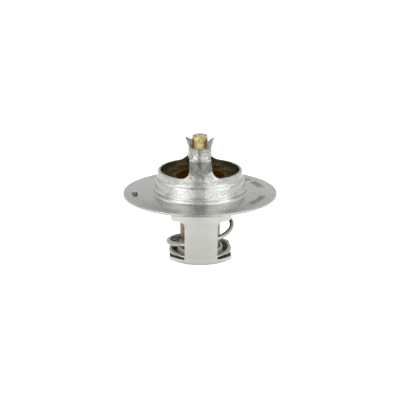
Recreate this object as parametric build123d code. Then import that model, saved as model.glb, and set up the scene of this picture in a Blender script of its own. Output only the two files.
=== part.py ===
from build123d import *
import math
import os

# Insert thermostat for an engine's cooling system, in millimetres. The origin is the middle of its
# lower frame's base, on the axis, +Z is the way from the wax element to the bridge, and the bridge
# legs stand at -Y (front) and +Y (rear). Every height named *_rise is measured from the flange's top.

# ---- driving dimensions -------------------------------------------------------------------------

# flange and stepped bell, one pressing
FLANGE_RADIUS = 27.0
FLANGE_TOP = 23.2
SHEET = 0.8
FLANGE_EDGE_ROUND = 0.15
LAND_DROP = 0.05
LAND_SLOPE = 0.15
FOOT_RADIUS = 16.4
FOOT_BEND = 1.0
FOOT_RISE = 2.3
MID_RADIUS = 15.85
MID_STEP = 0.7
MID_TAPER = 0.2
SHOULDER_RISE = 5.4
SHOULDER_SLOPE = 0.7
SHOULDER_ROUND = 0.9
THROAT_RADIUS = 14.75
RIM_RISE = 8.1

# bridge over the throat, drawn from the same sheet
BRIDGE_BEND_RISE = 14.6
BRIDGE_BEND = 6.5
BRIDGE_NECK_RISE = 15.2
LEG_WIDTH = 7.9
LEG_FOOT_FILLET = 3.4
NECK_RADIUS = 4.1
NECK_WALL = 0.6
NECK_BEND = 0.7
COLLAR_RISE = 16.4
EAR_START_RISE = 16.1
EAR_RISE = 19.6
EAR_FLARE = 1.35
EAR_HALF_WIDTH = 3.6
EAR_GAP = 5.9
EAR_PEAK_AHEAD = 1.0
EAR_FRONT_DROP = 1.3
EAR_REAR_DROP = 2.2
EAR_CORNER = 1.4

# lower frame, one pressed strap
FRAME_SHEET = 0.8
FRAME_HEAD_WIDTH = 20.9
FRAME_HEAD_DROP = 6.9
FRAME_LEG_WIDTH = 11.4
FRAME_HEAD_FILLET = 1.8
PAN_WIDTH = 21.8
PAN_TAPER = 2.2
PAN_RIM_HEIGHT = 1.85
PAN_BEND = 1.3
PAN_CORNER = 0.7
GUIDE_COLLAR_HEIGHT = 3.2
GUIDE_ENTRY_ROUND = 0.6
HEAD_TOP_GAP = 0.05

# piston and the brass nut that holds it in the neck
PISTON_RADIUS = 1.9
PISTON_ENGAGEMENT = 6.0
PISTON_TIP_CHAMFER = 0.5
PISTON_STAND_OUT = 0.25
NUT_HEAD_RADIUS = 2.7
NUT_TOP_RISE = 20.4
NUT_STEP_DROP = 0.25
NUT_BODY_DEPTH = 2.2
NUT_CHAMFER = 0.3

# valve plate
PLATE_SHEET = 0.9
SEAT_WIDTH = 0.5
PLATE_LIFT = 0.6
PLATE_STEP_WIDTH = 1.1
VALVE_TRAVEL = 8.0

# wax element: brass cup, guide, boot, washer, seal, wax
CUP_RADIUS = 7.1
CUP_WALL = 0.8
CUP_FLANGE_RADIUS = 8.6
CUP_FLANGE_THICKNESS = 1.1
CUP_NECK_WALL = 0.55
CUP_NECK_STEP = 0.3
CUP_GROUND_GAP = 0.3
CUP_BOTTOM_CHAMFER = 0.8
HAT_RADIUS = 8.4
HAT_THICKNESS = 0.7
HAT_BOSS_RADIUS = 4.2
HAT_BOSS_HEIGHT = 1.3
SPIGOT_DEPTH = 3.6
SEAL_WALL = 0.9
SEAL_HEIGHT = 1.4
CLAMP_RING_RADIUS = 9.5
CLAMP_RING_THICKNESS = 0.5
BOOT_WALL = 1.5
WASHER_THICKNESS = 0.8

# main spring
WIRE_RADIUS = 0.8
SPRING_FRAME_GAP = 2.7
SPRING_PAN_GAP = 1.45
SPRING_TURNS = 3.36
SPRING_DEAD_TURNS = 0.14
SPRING_BOTTOM_RAMP = 1.17
SPRING_TOP_RAMP = 0.6
SPRING_START_ANGLE = 130.0
SPRING_POINTS_PER_TURN = 16

# jiggle pin that vents air through the flange
JIGGLE_FROM_EDGE = 3.9
JIGGLE_ANGLE = 188.0
JIGGLE_HOLE_RADIUS = 0.75
JIGGLE_SHANK_RADIUS = 0.45
JIGGLE_HEAD_RADIUS = 1.0
JIGGLE_HEAD_HEIGHT = 1.0
JIGGLE_FOOT_RADIUS = 1.1
JIGGLE_FOOT_THICKNESS = 0.6
JIGGLE_TRAVEL = 1.2

# clearances between pieces
PRESS_GAP = 0.02
RUNNING_GAP = 0.06
GUIDE_GAP = 0.1
SPRING_SEAT_GAP = 0.02
TRAVEL_STOP_GAP = 0.1

# ---- sizes that follow --------------------------------------------------------------------------

FLANGE_UNDER = FLANGE_TOP - SHEET
LAND_TOP = FLANGE_TOP - LAND_DROP
LAND_UNDER = FLANGE_UNDER - LAND_DROP
JIGGLE_CIRCLE = FLANGE_RADIUS - JIGGLE_FROM_EDGE
LAND_INNER = JIGGLE_CIRCLE + JIGGLE_FOOT_RADIUS + TRAVEL_STOP_GAP + LAND_SLOPE
FOOT_INNER = FOOT_RADIUS - SHEET
MID_INNER = MID_RADIUS - SHEET
SEAT_TOP = FLANGE_TOP + SHOULDER_RISE - SHEET
THROAT_INNER = THROAT_RADIUS - SHEET
VALVE_RADIUS = THROAT_INNER + SEAT_WIDTH
PLATE_TOP = SEAT_TOP + PLATE_LIFT
PLATE_UNDER = PLATE_TOP - PLATE_SHEET
CUP_NECK_RADIUS = CUP_RADIUS + CUP_NECK_STEP
PLATE_HOLE_RADIUS = CUP_NECK_RADIUS + PRESS_GAP
CUP_INNER = CUP_RADIUS - CUP_WALL
SPIGOT_RADIUS = CUP_INNER - PRESS_GAP
SPIGOT_BOTTOM = PLATE_TOP - SPIGOT_DEPTH
WASHER_BOTTOM = SPIGOT_BOTTOM - WASHER_THICKNESS
PISTON_TOP = FLANGE_TOP + NUT_TOP_RISE + PISTON_STAND_OUT
PISTON_BOTTOM = SPIGOT_BOTTOM - VALVE_TRAVEL - PISTON_ENGAGEMENT
BOOT_INNER = PISTON_RADIUS + RUNNING_GAP
BOOT_OUTER = BOOT_INNER + BOOT_WALL
BOOT_BOTTOM = PISTON_BOTTOM - TRAVEL_STOP_GAP - BOOT_WALL
NECK_INNER = NECK_RADIUS - NECK_WALL
FRAME_HEAD_RADIUS = FOOT_INNER
PAN_RADIUS = FRAME_HEAD_RADIUS - PAN_TAPER
SPRING_TOP_RADIUS = FRAME_HEAD_RADIUS - FRAME_SHEET - WIRE_RADIUS - SPRING_FRAME_GAP
SPRING_BOTTOM_RADIUS = PAN_RADIUS - FRAME_SHEET - WIRE_RADIUS - SPRING_PAN_GAP
FRAME_TOP = FLANGE_TOP + FOOT_RISE - SHEET - HEAD_TOP_GAP
FRAME_BEND_HEIGHT = FLANGE_TOP - FRAME_HEAD_DROP
STANDING = (Align.CENTER, Align.CENTER, Align.MIN)


def revolved(points_and_rounds):
    """Solid turned about Z from (radius, height, corner round) points."""
    points = [(r, z) for r, z, _ in points_and_rounds]
    rounds = [corner_round for _, _, corner_round in points_and_rounds]
    outline = make_face(FilletPolyline(*points, radius=rounds, close=True))
    return revolve(Plane.XZ * outline, Axis.Z)


def front_prism(outline, reach):
    """An outline drawn in the front view, carried through the part from front to rear."""
    return extrude(Plane.XZ * make_face(outline), reach, both=True)


def ring(inner, outer, bottom, height):
    """Plain ring or, with an inner radius of 0, a disc."""
    body = Cylinder(outer, height, align=STANDING)
    if inner:
        body -= Cylinder(inner, height, align=STANDING)
    return Pos(0, 0, bottom) * body


# ---- fixed pieces -------------------------------------------------------------------------------

def flange_bridge():
    """Flange, stepped bell, throat, bridge legs and neck: one deep-drawn pressing."""
    reach = FLANGE_RADIUS * 2
    ear_radius = NECK_RADIUS + EAR_FLARE
    outside = revolved([
        (0, LAND_UNDER, 0),
        (FLANGE_RADIUS, LAND_UNDER, FLANGE_EDGE_ROUND),
        (FLANGE_RADIUS, LAND_TOP, FLANGE_EDGE_ROUND),
        (LAND_INNER, LAND_TOP, 0),
        (LAND_INNER - LAND_SLOPE, FLANGE_TOP, 0),
        (FOOT_RADIUS, FLANGE_TOP, FOOT_BEND),
        (FOOT_RADIUS, FLANGE_TOP + FOOT_RISE - MID_STEP, MID_STEP / 2),
        (MID_RADIUS, FLANGE_TOP + FOOT_RISE, MID_STEP / 2),
        (MID_RADIUS - MID_TAPER, FLANGE_TOP + SHOULDER_RISE - SHOULDER_SLOPE / 2, SHOULDER_ROUND),
        (THROAT_RADIUS, FLANGE_TOP + SHOULDER_RISE + SHOULDER_SLOPE / 2, SHOULDER_ROUND),
        (THROAT_RADIUS, FLANGE_TOP + BRIDGE_BEND_RISE, BRIDGE_BEND),
        (NECK_RADIUS, FLANGE_TOP + BRIDGE_NECK_RISE, NECK_BEND),
        (NECK_RADIUS, FLANGE_TOP + EAR_START_RISE, NECK_BEND),
        (ear_radius, FLANGE_TOP + EAR_RISE + SHEET, 0),
        (0, FLANGE_TOP + EAR_RISE + SHEET, 0),
    ])
    hollow = revolved([
        (0, LAND_UNDER - SHEET, 0),
        (LAND_INNER, LAND_UNDER - SHEET, 0),
        (LAND_INNER, LAND_UNDER, 0),
        (LAND_INNER - LAND_SLOPE, FLANGE_UNDER, 0),
        (FOOT_INNER, FLANGE_UNDER, FOOT_BEND + SHEET),
        (FOOT_INNER, FLANGE_TOP + FOOT_RISE - SHEET, 0),
        (MID_INNER, FLANGE_TOP + FOOT_RISE - SHEET, 0),
        (MID_INNER - MID_TAPER, SEAT_TOP, 0),
        (THROAT_INNER, SEAT_TOP, SHEET / 4),
        (THROAT_INNER, FLANGE_TOP + BRIDGE_BEND_RISE - SHEET, BRIDGE_BEND - SHEET),
        (NECK_INNER, FLANGE_TOP + BRIDGE_NECK_RISE - SHEET, NECK_BEND),
        (NECK_INNER, FLANGE_TOP + EAR_START_RISE, NECK_BEND),
        (ear_radius - NECK_WALL, FLANGE_TOP + EAR_RISE + SHEET, 0),
        (0, FLANGE_TOP + EAR_RISE + SHEET, 0),
    ])
    pressing = outside - hollow
    window_top = FLANGE_TOP + BRIDGE_NECK_RISE + NECK_BEND
    for side in (1, -1):
        window = FilletPolyline(
            (side * LEG_WIDTH / 2, FLANGE_TOP + RIM_RISE),
            (side * reach, FLANGE_TOP + RIM_RISE),
            (side * reach, window_top),
            (side * LEG_WIDTH / 2, window_top),
            radius=[LEG_FOOT_FILLET, 0, 0, NECK_WALL],
            close=True,
        )
        pressing -= front_prism(window, reach)
    pressing -= front_prism(collar_notch(), reach)
    pressing -= ear_trim(reach)
    hole = jiggle_place(0) * Cylinder(JIGGLE_HOLE_RADIUS, SHEET * 4)
    return pressing - hole


def collar_notch():
    """Front view of the gap between the two ears, above the neck's front and rear edges."""
    top = FLANGE_TOP + EAR_RISE + SHEET * 2
    return FilletPolyline(
        (-EAR_GAP / 2, FLANGE_TOP + COLLAR_RISE),
        (EAR_GAP / 2, FLANGE_TOP + COLLAR_RISE),
        (EAR_GAP / 2, top),
        (-EAR_GAP / 2, top),
        radius=[NECK_WALL, NECK_WALL, 0, 0],
        close=True,
    )


def ear_trim(reach):
    """What the side view cuts from the flared rim: all outside the two rounded ears."""
    top = FLANGE_TOP + EAR_RISE
    over = top + SHEET * 3
    low = FLANGE_TOP + COLLAR_RISE
    ear = make_face(FilletPolyline(
        (-EAR_HALF_WIDTH, low),
        (EAR_HALF_WIDTH, low),
        (EAR_HALF_WIDTH, top - EAR_REAR_DROP),
        (-EAR_PEAK_AHEAD, top),
        (-EAR_HALF_WIDTH, top - EAR_FRONT_DROP),
        radius=[0, 0, EAR_CORNER, EAR_CORNER, EAR_CORNER],
        close=True,
    ))
    above = Pos(0, (low + over) / 2) * Rectangle(reach, over - low)
    return extrude(Plane.YZ * (above - ear), reach, both=True)


def frame_outline():
    """Front view of the strap: T-shaped head, leg and pan, with its small fillets."""
    half = [
        (PAN_WIDTH / 2, -FRAME_SHEET, 0),
        (PAN_WIDTH / 2, PAN_RIM_HEIGHT, PAN_CORNER),
        (FRAME_LEG_WIDTH / 2, PAN_RIM_HEIGHT, PAN_CORNER / 2),
        (FRAME_LEG_WIDTH / 2, FRAME_BEND_HEIGHT, FRAME_HEAD_FILLET),
        (FRAME_HEAD_WIDTH / 2, FRAME_BEND_HEIGHT, PAN_CORNER),
        (FRAME_HEAD_WIDTH / 2, FRAME_TOP + FRAME_SHEET, 0),
    ]
    mirrored = [(-x, z, corner_round) for x, z, corner_round in reversed(half)]
    outline = half + mirrored
    points = [(x, z) for x, z, _ in outline]
    rounds = [corner_round for _, _, corner_round in outline]
    return FilletPolyline(*points, radius=rounds, close=True)


def lower_frame():
    """Stirrup that carries the spring: heads in the bell's foot, tapered legs, pan and guide collar."""
    bend = FRAME_HEAD_FILLET
    wall_top = PAN_RIM_HEIGHT + FRAME_SHEET
    cup = revolved([
        (0, 0, 0),
        (PAN_RADIUS, 0, PAN_BEND),
        (PAN_RADIUS, wall_top, bend),
        (FRAME_HEAD_RADIUS, FRAME_BEND_HEIGHT, bend),
        (FRAME_HEAD_RADIUS, FRAME_TOP, 0),
        (0, FRAME_TOP, 0),
    ])
    hollow = revolved([
        (0, FRAME_SHEET, 0),
        (PAN_RADIUS - FRAME_SHEET, FRAME_SHEET, PAN_BEND - FRAME_SHEET),
        (PAN_RADIUS - FRAME_SHEET, wall_top, bend),
        (FRAME_HEAD_RADIUS - FRAME_SHEET, FRAME_BEND_HEIGHT, bend),
        (FRAME_HEAD_RADIUS - FRAME_SHEET, FRAME_TOP + FRAME_SHEET, 0),
        (0, FRAME_TOP + FRAME_SHEET, 0),
    ])
    guide_inner = CUP_RADIUS + GUIDE_GAP
    collar = revolved([
        (guide_inner - FRAME_SHEET, 0, 0),
        (guide_inner + FRAME_SHEET * 2, 0, 0),
        (guide_inner + FRAME_SHEET * 2, FRAME_SHEET, 0),
        (guide_inner + FRAME_SHEET, FRAME_SHEET, FRAME_SHEET / 2),
        (guide_inner + FRAME_SHEET, GUIDE_COLLAR_HEIGHT, FRAME_SHEET / 4),
        (guide_inner - FRAME_SHEET, GUIDE_COLLAR_HEIGHT, 0),
    ])
    strap = (cup & front_prism(frame_outline(), FLANGE_RADIUS)) - hollow
    bore = revolved([
        (0, -FRAME_SHEET, 0),
        (guide_inner + FRAME_SHEET, -FRAME_SHEET, 0),
        (guide_inner + FRAME_SHEET, 0, 0),
        (guide_inner, 0, GUIDE_ENTRY_ROUND),
        (guide_inner, GUIDE_COLLAR_HEIGHT + FRAME_SHEET, 0),
        (0, GUIDE_COLLAR_HEIGHT + FRAME_SHEET, 0),
    ])
    return strap + collar - bore


def piston_pin():
    top = PISTON_TOP
    return revolved([
        (0, PISTON_BOTTOM, 0),
        (PISTON_RADIUS, PISTON_BOTTOM, PISTON_TIP_CHAMFER),
        (PISTON_RADIUS, top, PISTON_STAND_OUT),
        (0, top, 0),
    ])


def adjusting_nut():
    """Round brass nut: body down in the neck, narrower head above it, bored for the piston."""
    top = FLANGE_TOP + NUT_TOP_RISE
    step = FLANGE_TOP + COLLAR_RISE - NUT_STEP_DROP
    bore = PISTON_RADIUS + PRESS_GAP
    body_radius = NECK_INNER - PRESS_GAP
    return revolved([
        (bore, step - NUT_BODY_DEPTH, 0),
        (body_radius, step - NUT_BODY_DEPTH, NUT_CHAMFER),
        (body_radius, step, NUT_CHAMFER / 2),
        (NUT_HEAD_RADIUS, step, NUT_CHAMFER),
        (NUT_HEAD_RADIUS, top, NUT_CHAMFER),
        (bore, top, 0),
    ])


# ---- valve and wax element ----------------------------------------------------------------------

def valve_plate():
    """Pressed plate: flat rim on the seat, raised middle in the throat, hole for the element."""
    rim_under = SEAT_TOP - PLATE_SHEET
    step_outer = THROAT_INNER - PLATE_LIFT / 2
    step_inner = step_outer - PLATE_STEP_WIDTH
    return revolved([
        (PLATE_HOLE_RADIUS, PLATE_UNDER, 0),
        (step_inner, PLATE_UNDER, 0),
        (step_outer, rim_under, 0),
        (VALVE_RADIUS, rim_under, PLATE_SHEET / 3),
        (VALVE_RADIUS, SEAT_TOP, PLATE_SHEET / 4),
        (step_outer, SEAT_TOP, 0),
        (step_inner, PLATE_TOP, 0),
        (PLATE_HOLE_RADIUS, PLATE_TOP, 0),
    ])


def wax_cup():
    """Brass cup of the wax element: its flange carries the valve plate, its neck centres it."""
    flange_bottom = PLATE_UNDER - CUP_FLANGE_THICKNESS
    neck_inner = CUP_NECK_RADIUS - CUP_NECK_WALL
    return revolved([
        (0, CUP_GROUND_GAP, 0),
        (CUP_RADIUS, CUP_GROUND_GAP, CUP_BOTTOM_CHAMFER),
        (CUP_RADIUS, flange_bottom, 0),
        (CUP_FLANGE_RADIUS, flange_bottom, CUP_WALL / 4),
        (CUP_FLANGE_RADIUS, PLATE_UNDER, 0),
        (CUP_NECK_RADIUS, PLATE_UNDER, 0),
        (CUP_NECK_RADIUS, PLATE_TOP, 0),
        (neck_inner, PLATE_TOP, 0),
        (neck_inner, PLATE_UNDER, 0),
        (CUP_INNER, PLATE_UNDER, 0),
        (CUP_INNER, CUP_GROUND_GAP + CUP_WALL, CUP_BOTTOM_CHAMFER / 2),
        (0, CUP_GROUND_GAP + CUP_WALL, 0),
    ])


def element_guide():
    """Brass hat over the cup: it guides the piston and closes the wax chamber."""
    hat_top = PLATE_TOP + HAT_THICKNESS
    boss_top = hat_top + HAT_BOSS_HEIGHT
    bore = PISTON_RADIUS + RUNNING_GAP
    seal_outer = PISTON_RADIUS + RUNNING_GAP + SEAL_WALL
    return revolved([
        (bore, SPIGOT_BOTTOM, 0),
        (SPIGOT_RADIUS, SPIGOT_BOTTOM, CUP_NECK_WALL / 2),
        (SPIGOT_RADIUS, PLATE_TOP, 0),
        (HAT_RADIUS, PLATE_TOP, 0),
        (HAT_RADIUS, hat_top, HAT_THICKNESS / 2),
        (HAT_BOSS_RADIUS, hat_top, HAT_THICKNESS),
        (HAT_BOSS_RADIUS, boss_top, HAT_THICKNESS / 2),
        (seal_outer, boss_top, 0),
        (seal_outer, boss_top - SEAL_HEIGHT, 0),
        (bore, boss_top - SEAL_HEIGHT, 0),
    ])


def piston_seal():
    seal_inner = PISTON_RADIUS + RUNNING_GAP
    boss_top = PLATE_TOP + HAT_THICKNESS + HAT_BOSS_HEIGHT
    return ring(seal_inner, seal_inner + SEAL_WALL, boss_top - SEAL_HEIGHT, SEAL_HEIGHT)


def clamp_ring():
    return ring(HAT_RADIUS + PRESS_GAP, CLAMP_RING_RADIUS, PLATE_TOP, CLAMP_RING_THICKNESS)


def backup_washer():
    return ring(PISTON_RADIUS + RUNNING_GAP, SPIGOT_RADIUS, WASHER_BOTTOM, WASHER_THICKNESS)


def rubber_boot():
    """Closed boot around the piston: the wax squeezes it and pushes the piston out."""
    return revolved([
        (0, BOOT_BOTTOM, 0),
        (BOOT_OUTER, BOOT_BOTTOM, BOOT_WALL / 2),
        (BOOT_OUTER, WASHER_BOTTOM, 0),
        (BOOT_INNER, WASHER_BOTTOM, 0),
        (BOOT_INNER, PISTON_BOTTOM - TRAVEL_STOP_GAP, 0),
        (0, PISTON_BOTTOM - TRAVEL_STOP_GAP, 0),
    ])


def wax_charge():
    """Wax pellet: it fills the cup around the boot."""
    floor = CUP_GROUND_GAP + CUP_WALL + PRESS_GAP
    wax_radius = CUP_INNER - PRESS_GAP
    boot_hole = BOOT_OUTER + PRESS_GAP
    boot_end = BOOT_BOTTOM - PRESS_GAP
    return revolved([
        (0, floor, 0),
        (wax_radius, floor, CUP_BOTTOM_CHAMFER / 2),
        (wax_radius, WASHER_BOTTOM, 0),
        (boot_hole, WASHER_BOTTOM, 0),
        (boot_hole, boot_end, 0),
        (0, boot_end, 0),
    ])


# ---- main spring --------------------------------------------------------------------------------

def spring_share(turn):
    """Rise gathered after some turns, in full pitches: flat, easing in, full, easing out, flat."""
    ramp_end = SPRING_DEAD_TURNS + SPRING_BOTTOM_RAMP
    full_end = SPRING_TURNS - SPRING_DEAD_TURNS - SPRING_TOP_RAMP
    eased_in = min(max(turn - SPRING_DEAD_TURNS, 0), SPRING_BOTTOM_RAMP) / SPRING_BOTTOM_RAMP
    full = min(max(turn - ramp_end, 0), full_end - ramp_end)
    eased_out = min(max(turn - full_end, 0), SPRING_TOP_RAMP) / SPRING_TOP_RAMP
    return SPRING_BOTTOM_RAMP * eased_in**3 / 3 + full + SPRING_TOP_RAMP * (1 - (1 - eased_out) ** 3) / 3


def spring_radius(turn):
    """The bottom coil is tighter, so that it sits in the pan; the change takes about half a turn."""
    change = min(max((turn - SPRING_BOTTOM_RAMP / 2) / (SPRING_BOTTOM_RAMP / 2), 0), 1)
    eased = change * change * (3 - 2 * change)
    return SPRING_BOTTOM_RADIUS + (SPRING_TOP_RADIUS - SPRING_BOTTOM_RADIUS) * eased


def spring_point(turn):
    bottom = FRAME_SHEET + SPRING_SEAT_GAP + WIRE_RADIUS
    top = PLATE_UNDER - SPRING_SEAT_GAP - WIRE_RADIUS
    height = bottom + (top - bottom) * spring_share(turn) / spring_share(SPRING_TURNS)
    angle = math.radians(SPRING_START_ANGLE + 360 * turn)
    radius = spring_radius(turn)
    return (radius * math.cos(angle), radius * math.sin(angle), height)


def main_spring():
    """Right-hand spring with a wide pitch that eases to flat at both ends."""
    count = round(SPRING_TURNS * SPRING_POINTS_PER_TURN)
    centre_line = Spline(*[spring_point(SPRING_TURNS * k / count) for k in range(count + 1)])
    start = Plane(centre_line @ 0, z_dir=centre_line % 0)
    return sweep(start * Circle(WIRE_RADIUS), path=centre_line, is_frenet=True)


# ---- jiggle pin ---------------------------------------------------------------------------------

def jiggle_place(height):
    """Where the jiggle pin stands on the flange, at a height."""
    angle = math.radians(JIGGLE_ANGLE)
    return Pos(JIGGLE_CIRCLE * math.cos(angle), JIGGLE_CIRCLE * math.sin(angle), FLANGE_TOP + height)


def jiggle_pin():
    """Pin that hangs by its round head and lifts until its foot closes the hole."""
    foot_top = -SHEET - JIGGLE_TRAVEL - TRAVEL_STOP_GAP
    foot_bottom = foot_top - JIGGLE_FOOT_THICKNESS
    pin = revolved([
        (0, foot_bottom, 0),
        (JIGGLE_FOOT_RADIUS, foot_bottom, JIGGLE_FOOT_THICKNESS / 3),
        (JIGGLE_FOOT_RADIUS, foot_top, JIGGLE_FOOT_THICKNESS / 3),
        (JIGGLE_SHANK_RADIUS, foot_top, 0),
        (JIGGLE_SHANK_RADIUS, 0, 0),
        (JIGGLE_HEAD_RADIUS, 0, JIGGLE_HEAD_HEIGHT / 5),
        (JIGGLE_HEAD_RADIUS, JIGGLE_HEAD_HEIGHT, JIGGLE_HEAD_HEIGHT * 0.7),
        (0, JIGGLE_HEAD_HEIGHT, 0),
    ])
    return jiggle_place(0) * pin


PIECES = {
    "flange_bridge": flange_bridge,
    "lower_frame": lower_frame,
    "adjusting_nut": adjusting_nut,
    "piston_pin": piston_pin,
    "main_spring": main_spring,
    "valve_plate": valve_plate,
    "clamp_ring": clamp_ring,
    "element_guide": element_guide,
    "piston_seal": piston_seal,
    "backup_washer": backup_washer,
    "rubber_boot": rubber_boot,
    "wax_charge": wax_charge,
    "wax_cup": wax_cup,
    "jiggle_pin": jiggle_pin,
}

os.makedirs("parts", exist_ok=True)
for node, make_piece in PIECES.items():
    export_step(make_piece(), f"parts/{node}.step")
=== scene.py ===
"""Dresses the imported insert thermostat: its pressing, wound spring, marks, finishes and studio stage."""

import math

import bmesh
import bpy
from mathutils import Matrix, Vector


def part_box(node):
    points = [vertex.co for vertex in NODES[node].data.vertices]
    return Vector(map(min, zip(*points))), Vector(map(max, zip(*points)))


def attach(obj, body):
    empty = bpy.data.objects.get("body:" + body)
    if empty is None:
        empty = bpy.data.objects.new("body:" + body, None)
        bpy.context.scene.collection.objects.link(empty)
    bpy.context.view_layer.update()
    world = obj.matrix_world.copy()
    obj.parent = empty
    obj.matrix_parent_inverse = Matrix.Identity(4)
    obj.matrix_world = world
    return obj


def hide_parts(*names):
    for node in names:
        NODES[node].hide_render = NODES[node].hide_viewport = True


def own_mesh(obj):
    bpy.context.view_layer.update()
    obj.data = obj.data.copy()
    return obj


bl_info = {
    "name": "Insert Thermostat Dressing",
    "version": (1, 0, 0),
    "blender": (4, 5, 0),
    "location": "3D View > Sidebar > Thermostat",
    "description": "Gives an insert thermostat its pressing, spring, finishes and studio stage",
    "category": "Object",
}

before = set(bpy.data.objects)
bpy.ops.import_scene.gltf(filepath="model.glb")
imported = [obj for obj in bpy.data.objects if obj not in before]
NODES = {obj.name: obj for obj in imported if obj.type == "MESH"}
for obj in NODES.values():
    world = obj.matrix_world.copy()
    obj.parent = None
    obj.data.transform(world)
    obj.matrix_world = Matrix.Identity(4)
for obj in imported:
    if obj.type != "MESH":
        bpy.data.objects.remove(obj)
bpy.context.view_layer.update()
MM = 0.001
WHITE = "#ffffff"
FLANGE_TOP = 23.2 * MM
# a corner's arc is drawn in steps of at most 12 degrees, and an edge of over 35 degrees stays sharp
ARC_STEP = math.radians(12)
SHARP_EDGE = math.radians(35)
# turns an outline's plane to face the front, the side or the top
FRONT_VIEW = Matrix(((1, 0, 0), (0, 0, -1), (0, 1, 0)))
SIDE_VIEW = Matrix(((0, 0, 1), (1, 0, 0), (0, 1, 0)))
TOP_VIEW = Matrix.Identity(3)
VENT_HOLE_SIDES = 32
# how much rougher the valve plate is than the sheet
PLATE_DULLER = 0.12
DOT_SIDES = 8
PIP_SIDES = 24
# a ray from this far out finds a leg's outer face for its pip
PIP_RAY_START = 30 * MM
# plain dot fields on the flange: name, from and to in degrees round the axis, inner and outer radius
DOT_FIELDS = (
    ("dot_field_front", -41.7, -16.7, 21.6 * MM, 23.4 * MM),
    ("dot_field_side", 11.3, 29.3, 21.0 * MM, 23.3 * MM),
    ("dot_field_rear", 35.3, 43.3, 21.0 * MM, 23.3 * MM),
)
# soft boxes: name, place, size and level; a level of 1 makes the box itself as bright as white
LAMPS = (
    ("top", (0.0, -0.05, 0.6), (0.6, 0.5), 1.0),
    ("left", (-0.62, -0.42, 0.16), (0.4, 0.5), 1.3),
    ("right", (0.66, -0.36, 0.16), (0.4, 0.5), 1.3),
)
LAMPS_AIM = Vector((0, 0, 20 * MM))
SENSOR_WIDTH = 36.0
CAMERA_SEES = (0.01, 20.0)
FLOOR_REACH = 1.5
# what the floor adds to its own lit white where the camera sees it
FLOOR_GLOW = 0.8
# between these distances from the part's middle the mirrored floor and the cards change their level
LEVEL_NEAR, LEVEL_FAR = 0.12, 0.22
# the cards reach from just beside the part out over the floor, and lie on it
CARD_NEAR, CARD_FAR = 0.045, 0.5
CARD_HEIGHT = 0.3 * MM
# parts of a direction (X right, Y to the rear, Z up) between which a mirrored level changes: the floor's
# from front to side, the room's from front to rear and from 20 to 34 degrees up, the tall boxes' at an end
FLOOR_FRONT = (-0.93, -0.5)
ROOM_DEPTH = (-0.35, 0.45)
ROOM_RISE = (0.34, 0.56)
BOX_END = (0.65, 0.35)
BOX_EDGE = 0.05
# the room's level for what isn't a mirror
ROOM_FILL = 0.85


# ---- small helpers ------------------------------------------------------------------------------


def linear(hex_colour):
    """An sRGB hex colour as linear RGBA."""
    digits = hex_colour.lstrip("#")
    channels = [int(digits[k:k + 2], 16) / 255 for k in (0, 2, 4)]
    return (*[c / 12.92 if c <= 0.04045 else ((c + 0.055) / 1.055) ** 2.4 for c in channels], 1.0)


def add_node(tree, kind, settings=None, inputs=None):
    """Adds one node: settings are its own attributes, inputs are values, or the sockets that feed it."""
    node = tree.nodes.new(kind)
    for name, value in (settings or {}).items():
        setattr(node, name, value)
    for name, value in (inputs or {}).items():
        if isinstance(value, bpy.types.NodeSocket):
            tree.links.new(value, node.inputs[name])
        else:
            node.inputs[name].default_value = value
    return node


def new_material(name):
    """An empty node material, its tree and its output node."""
    material = bpy.data.materials.new(name)
    material.use_nodes = True
    tree = material.node_tree
    tree.nodes.clear()
    return material, tree, tree.nodes.new("ShaderNodeOutputMaterial")


def in_scene(name, data):
    """A new object in the scene."""
    made = bpy.data.objects.new(name, data)
    bpy.context.scene.collection.objects.link(made)
    return made


def dress(node_name, material):
    """Gives a CAD node one finish all over."""
    mesh = NODES[node_name].data
    mesh.materials.clear()
    mesh.materials.append(material)


def new_piece_tree(name, sizes):
    """An empty geometry tree with a named input for each size; gives the tree and the inputs' sockets."""
    tree = bpy.data.node_groups.new(name, "GeometryNodeTree")
    for label, kind in sizes.items():
        tree.interface.new_socket(label, in_out="INPUT", socket_type="NodeSocket" + kind)
    tree.interface.new_socket("Mesh", in_out="OUTPUT", socket_type="NodeSocketGeometry")
    return tree, tree.nodes.new("NodeGroupInput").outputs


def end_piece_tree(tree, geometry, material):
    """Makes instances real, gives them their material and ends the tree."""
    real = add_node(tree, "GeometryNodeRealizeInstances", inputs={"Geometry": geometry})
    dressed = add_node(tree, "GeometryNodeSetMaterial", inputs={
        "Geometry": real.outputs[0], "Material": material,
    })
    add_node(tree, "NodeGroupOutput", inputs={"Mesh": dressed.outputs[0]})


def around_axis(tree, angle, radius, height):
    """The socket with the point at an angle, a radius and a height."""
    along_x = add_node(tree, "ShaderNodeMath", {"operation": "COSINE"}, {0: angle})
    along_y = add_node(tree, "ShaderNodeMath", {"operation": "SINE"}, {0: angle})
    way = add_node(tree, "ShaderNodeCombineXYZ", inputs={0: along_x.outputs[0], 1: along_y.outputs[0]})
    out = add_node(tree, "ShaderNodeVectorMath", {"operation": "SCALE"}, {0: way.outputs[0], "Scale": radius})
    up = add_node(tree, "ShaderNodeCombineXYZ", inputs={2: height})
    point = add_node(tree, "ShaderNodeVectorMath", {"operation": "ADD"}, {
        0: out.outputs[0], 1: up.outputs[0],
    })
    return point.outputs[0]


def keep_result(piece):
    """Replaces a piece's mesh by what its modifiers make of it."""
    graph = bpy.context.evaluated_depsgraph_get()
    mesh = bpy.data.meshes.new_from_object(piece.evaluated_get(graph), depsgraph=graph)
    mesh.name = piece.name
    piece.modifiers.clear()
    piece.data = mesh


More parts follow.
